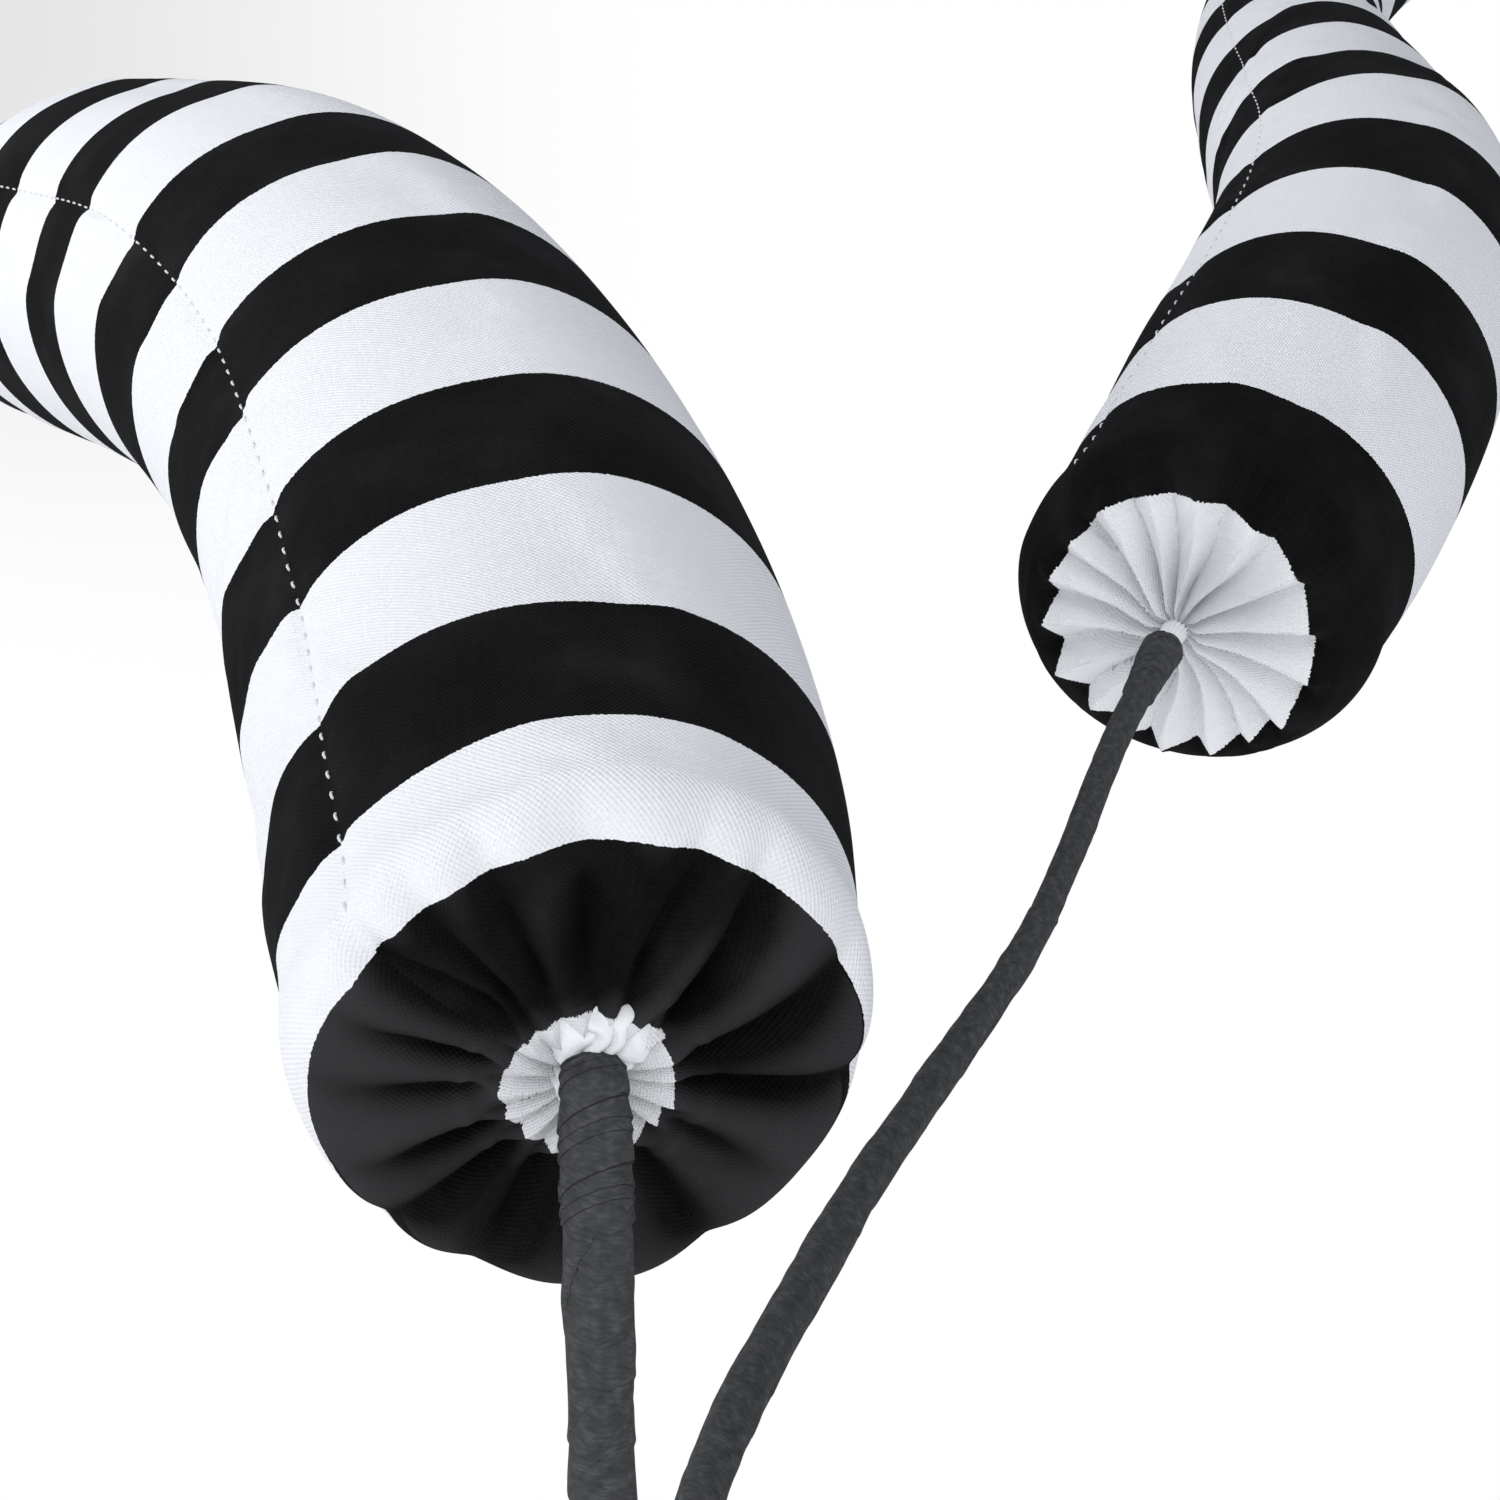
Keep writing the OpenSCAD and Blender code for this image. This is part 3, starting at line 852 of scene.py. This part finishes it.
def make_stitches(curl, m, points, material):
    """Running stitches in the seam's valley."""
    line = points[:, 0]
    centre = curl.route.centre(curl.outline(m)[0])
    out = unit(line - centre)
    lines = []
    for start in np.arange(SHOULDER_R - 0.002, curl.tip_start, STITCH_STEP):
        at = start + STITCH_L * np.linspace(0, 1, 7)
        rise = np.sin(np.linspace(0, math.pi, 7)) * STITCH_RISE - STITCH_SUNK
        places = np.stack([np.interp(at, m, line[:, axis]) for axis in range(3)], axis=1)
        ups = np.stack([np.interp(at, m, out[:, axis]) for axis in range(3)], axis=1)
        lines.append(places + rise[:, None] * ups)
    stitches = thread_pieces(f"{curl.name}_stitches", lines, THREAD_R, material)
    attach(stitches, f"{curl.name}_curl")
    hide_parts(f"{curl.name}_seam_thread")


def make_knot(curl, material):
    """Thread wound round the far end and knotted over it."""
    heading, side, across = (v[0] for v in curl.route.axes(np.array([curl.end])))
    centre = curl.route.centre(np.array([curl.end]))[0]
    ring_r, ring_pitch, loop_r, loop_at = 0.0021, 0.0009, 0.0018, 0.0030
    lines = []
    for k in range(3):
        a = np.linspace(0, 2 * math.pi, 33)
        ring = ring_r * (np.cos(a)[:, None] * side + np.sin(a)[:, None] * across)
        lines.append(centre + ring + (0.0002 + ring_pitch * k) * heading)
    for tilt in (0.0, 1.0, 2.1):
        a = np.linspace(0, 2 * math.pi, 25)
        wide = math.cos(tilt) * side + math.sin(tilt) * across
        loop = loop_r * (np.cos(a)[:, None] * wide + np.sin(a)[:, None] * heading)
        lines.append(centre + loop_at * heading + loop)
    knot = thread_pieces(f"{curl.name}_tip_knot", lines, KNOT_THREAD_R, material)
    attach(knot, f"{curl.name}_curl")
    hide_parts(f"{curl.name}_tip_thread")


# ---- tape ----


def tape_grid(route, start, end, radius, pitch, step, seed, line=0.0, slant=0.0, sides=72, dome=0.0):
    """Grid of a wound tape with an uneven outline, whose lap edge runs round once in every pitch, its
    windings tipped by slant toward one side. radius is a function of s, and line is the height of the
    painted shadow under a lap. Returns the points, the cloth map and the lap map."""
    s = np.linspace(start, end, int((end - start) / TAPE_ROW) + 1)
    base = radius(s)
    if dome:
        close = np.clip((s - (end - dome)) / dome, 0, 1)
        base = base * np.sqrt(np.maximum(1 - close ** 2, 0.02))
    turn = np.arange(sides + 1) / sides
    tipped = s[:, None] - slant * base[:, None] * np.cos(2 * math.pi * (turn[None, :] - 0.82))
    lap = tipped / pitch - turn[None, :] + 0.35 * np.sin(tipped / pitch * 2.1 + seed)
    laid = step * (smooth_step(lap % 1, 0.0, 0.10) - lap % 1)
    lumps = 0.00020 * soft_noise(s[:, None] / 0.006, turn[None, :] % 1 * 4, seed)
    small = soft_noise(s[:, None] / 0.0022 + 3 * turn[None, :], turn[None, :] % 1 * 9, seed + 1)
    lumps = lumps + 0.00008 * small
    raised = ((laid + lumps) * np.clip(base / base.max(), 0, 1)[:, None])[:, :-1]
    points = round_surface(route, s, base, 2 * math.pi * turn[:-1], *outward(s, base), raised)
    across = turn * 2 * math.pi * float(base.max())
    cloth = np.stack(np.broadcast_arrays(across[None, :], s[:, None]), axis=2)
    return points, cloth, np.stack([lap, np.full_like(lap, line / pitch)], axis=2)


def make_tape(name, grid, material, nodes):
    """A piece of wound tape that stands for the named CAD nodes."""
    piece = add(name, grid_mesh(name, *grid))
    piece.data.materials.append(material)
    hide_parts(*nodes)
    return piece


def make_branch(name, points, material, radius, neck_r, reach, lap, line, seed):
    """Tape over one branch, from inside the fork's windings to its neck, and the close windings at the
    neck, which end at reach past the bend."""
    route = Route(points, spare=0.006)
    top = route.length - NECK_L + min(reach, 0.002)

    def neck_radius(s):
        rise = smooth_step(s, top - 0.004, route.length + reach - 0.003)
        return neck_r[0] + (neck_r[1] - neck_r[0]) * rise

    sleeve = make_tape(f"{name}_branch_wrap",
                       tape_grid(route, -0.004, top, radius, WRAP_PITCH, lap, seed, line=line, slant=1.0),
                       material, [f"{name}_branch_tape"])
    foot, rise = route.centre(np.array([0.0]))[0], route.axes(np.array([0.0]))[0][0]
    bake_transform(sleeve)
    neck = make_tape(f"{name}_neck_wrap",
                     tape_grid(route, top - 0.004, route.length + reach, neck_radius, NECK_PITCH, 0.00035,
                               seed + 5, line=2 * line, slant=0.8, dome=0.0022),
                     material, [f"{name}_neck_tape"])
    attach(neck, f"{name}_branch")


def left_tape_r(s):
    """The left branch grows a little thicker toward its neck."""
    return BRANCH_LOW_R + 0.0004 * np.clip(s / 0.1, 0, 1)


def right_tape_r(s):
    """The right branch loses its outer layer of tape on the way up, and that layer ends in a small step."""
    thinner = 0.0006 * smooth_step(s, 0.10, 0.17)
    step = 0.0002 * (1 - smooth_step(s, 0.172, 0.173))
    return BRANCH_LOW_R - 0.0002 - thinner + step


def make_stem(material):
    """Tape over the stem and the close windings round the fork."""
    line = Route([(0, 0, -FORK_Z), (0, 0, -0.09), (0, 0, 0.004)], spare=0.002)

    def straight(s):
        return np.full_like(s, STEM_R)

    def lump(s):
        low = smooth_step(s, FORK_Z - FORK_TAPE_L, FORK_Z - FORK_TAPE_L / 2)
        return STEM_R + 0.0002 + (FORK_R - STEM_R) * low

    stem = make_tape("stem_wrap",
                     tape_grid(line, 0.0002, FORK_Z - 0.02, straight, STEM_PITCH, 0.00035, 31),
                     material, ["stem_tape"])
    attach(stem, "stem")
    fork = make_tape("fork_wrap",
                     tape_grid(line, FORK_Z - FORK_TAPE_L, FORK_Z + 0.0045, lump, FORK_PITCH, 0.00045, 37,
                               dome=0.004),
                     material, ["fork_tape"])
    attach(fork, "stem")


# ---- gathered necks ----


def make_collar(curl, branch_points, reach, material):
    """White pleated cloth that spreads from the wire above the neck windings to the gathered end."""
    branch = Route(branch_points)
    neck = branch.centre(np.array([branch.length]))[0]
    below = branch.centre(np.array([branch.length + min(reach, 0) - 0.003]))[0]
    cap = curl.route.centre(np.array([0.0]))[0]
    heading, side, across = (v[0] for v in curl.route.axes(np.array([0.0])))
    rows, sides = 20, 180
    t = np.linspace(0, 1, rows)
    top = cap + (0.0006 - curl.cone) * heading
    centre = (1 - t)[:, None] ** 2 * below + 2 * (t * (1 - t))[:, None] * neck + (t ** 2)[:, None] * top
    a = 2 * math.pi * np.arange(sides) / sides
    pleat = np.abs(np.sin(8.5 * a + 0.4 * np.sin(3 * a)))
    low_r, high_r = curl.collar
    ruffle = (0.16 * pleat[None, :] - 0.08) * (0.6 + t[:, None])
    radius = (low_r + (high_r - low_r) * t[:, None] ** 2) * (1 + ruffle)
    ring = np.cos(a)[None, :, None] * side + np.sin(a)[None, :, None] * across
    points = centre[:, None, :] + radius[:, :, None] * ring
    collar = add(f"{curl.name}_collar", grid_mesh(f"{curl.name}_collar", points, None))
    collar.data.materials.append(material)
    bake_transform(collar)


def make_bunch(curl, material):
    """Crumpled end of the cloth: a low dome over the neck whose winding folds come from waves bent by
    waves."""
    heading, side, across = (v[0] for v in curl.route.axes(np.array([0.0])))
    aside, down = 0.0017, 0.0048
    middle = curl.route.centre(np.array([0.0]))[0] + aside * side - down * across
    wide, deep, tall = 0.0052, 0.0040, 0.0028
    t = np.linspace(0.03, 1, 48)[:, None] * math.pi / 2
    a = np.linspace(0, 2 * math.pi, 161)[None, :-1]
    x, y = np.sin(t) * np.cos(a), np.sin(t) * np.sin(a)
    winding = 1.8 * x + 0.55 * np.sin(3.0 * y + 1.4 * np.sin(2.6 * x)) + 0.2 * np.sin(6 * y - 3 * x)
    ridge = np.abs(np.sin(math.pi * winding)) ** 0.7
    rise = 0.0002 + tall * np.cos(t) ** 0.7 * (0.68 + 0.32 * ridge)
    spread = 1 + 0.06 * (ridge - 0.5) * np.sin(t)
    points = (middle + wide * (x * spread)[:, :, None] * side + deep * (y * spread)[:, :, None] * across
              - rise[:, :, None] * heading)
    bunch = add(f"{curl.name}_crumpled_end", grid_mesh(f"{curl.name}_crumpled_end", points, None))
    bunch.data.materials.append(material)
    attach(bunch, f"{curl.name}_curl")


# ---- the whole spray ----


def finish_cad_nodes(steel, coat, thread):
    """Materials for the CAD nodes that stay: wires, coats and the thread round each neck."""
    kinds = {"wire": steel, "coat": coat, "thread": thread}
    for name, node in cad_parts.items():
        material = kinds.get(name.split("_")[-1])
        if material:
            node.data.materials.clear()
            node.data.materials.append(material)


def striped_edges(first, black, white):
    """Edges where the colour changes, from a few uneven ones at the gathered end on. The one before them
    closes off the white middle, and black runs from each even-numbered edge to the next."""
    edges = list(first)
    while edges[-1] < LAST_EDGE:
        edges.append(edges[-1] + (black if len(edges) % 2 else white))
    return [edges[0] - 0.04, *edges]


make_camera()
make_stage()
make_surroundings()
make_lamps()

cotton = plain_cloth()
tape = crepe_tape()
thread = spun_thread("sewing_thread", (0.70, 0.705, 0.72))

# Folds of the left gathered end: angle at the rim and its change toward the middle, half width, all in
# degrees, and depth
LEFT_FOLDS = [
    (9, 0, 5, 0.0048), (35, 0, 7, 0.0026), (64, 0, 8, 0.0044), (92, 0, 6, 0.0040), (115, 0, 9, 0.0066),
    (138, 0, 6, 0.0050), (158, 0, 5, 0.0038), (184, 0, 5, 0.0030), (202, 0, 4, 0.0034),
    (217, 6, 5, 0.0060), (233, 0, 6, 0.0054), (250, 0, 6, 0.0060), (272, 0, 11, 0.0085),
    (297, 0, 6, 0.0064), (309, 14, 5.5, 0.0075), (338, 14, 7, 0.0060),
]

# Flatter stretches of the rims: angle and half width in degrees, and depth, which is below zero where the
# rim stands out
LEFT_DENTS = [(35, 40, 0.0027), (155, 32, 0.0021), (240, 34, 0.0023)]
RIGHT_DENTS = [(120, 45, -0.0032)]

curls = [
    Curl("left", LEFT_CURL, taper_start=0.300, drawn_in=0.0045,
         edges=striped_edges([-0.0171, -0.0002, 0.0180], black=0.0227, white=0.0265),
         folds=LEFT_FOLDS, pleats=(18, 0.0015, 0.0090), crease=0.70, uneven=0.0003, oval=-0.0003,
         overhang=0.006, cone=0.0, dents=LEFT_DENTS, collar=(0.0024, 0.0034), slack=0.75, seed=4),
    Curl("right", RIGHT_CURL, taper_start=0.030, drawn_in=0.0045,
         edges=striped_edges([-0.0046, 0.0222, 0.0488], black=0.0251, white=0.0285),
         folds=[], pleats=(17, 0.0046, 0.0213), crease=0.62, uneven=0.0002, oval=0.0022,
         overhang=0.0, cone=0.0046, dents=RIGHT_DENTS, collar=(0.0019, 0.0020), slack=0.3, seed=9),
]
# line is the height of the painted shadow under each lap of the tape
branches = [
    dict(points=LEFT_BRANCH, radius=left_tape_r, neck_r=(0.0034, 0.0033), reach=0.005,
         lap=0.0003, line=0.0001),
    dict(points=RIGHT_BRANCH, radius=right_tape_r, neck_r=(0.0023, 0.0031), reach=-0.003,
         lap=0.00012, line=0.00003),
]
# The left gathered end gets a painted sheen on its ridges and painted shade in its folds; the right one gets
# none
for curl, branch, painted_sheen in zip(curls, branches, (0.80, 0.0)):
    rows, surface = make_cover(curl, striped_cloth(f"{curl.name}_cloth", painted_sheen))
    make_stitches(curl, rows, surface, thread)
    make_knot(curl, thread)
    make_collar(curl, branch["points"], branch["reach"], cotton)
    make_branch(curl.name, material=tape, seed=curl.seed, **branch)
make_bunch(curls[0], cotton)
make_stem(tape)
finish_cad_nodes(drawn_steel(), wire_coat(), thread)
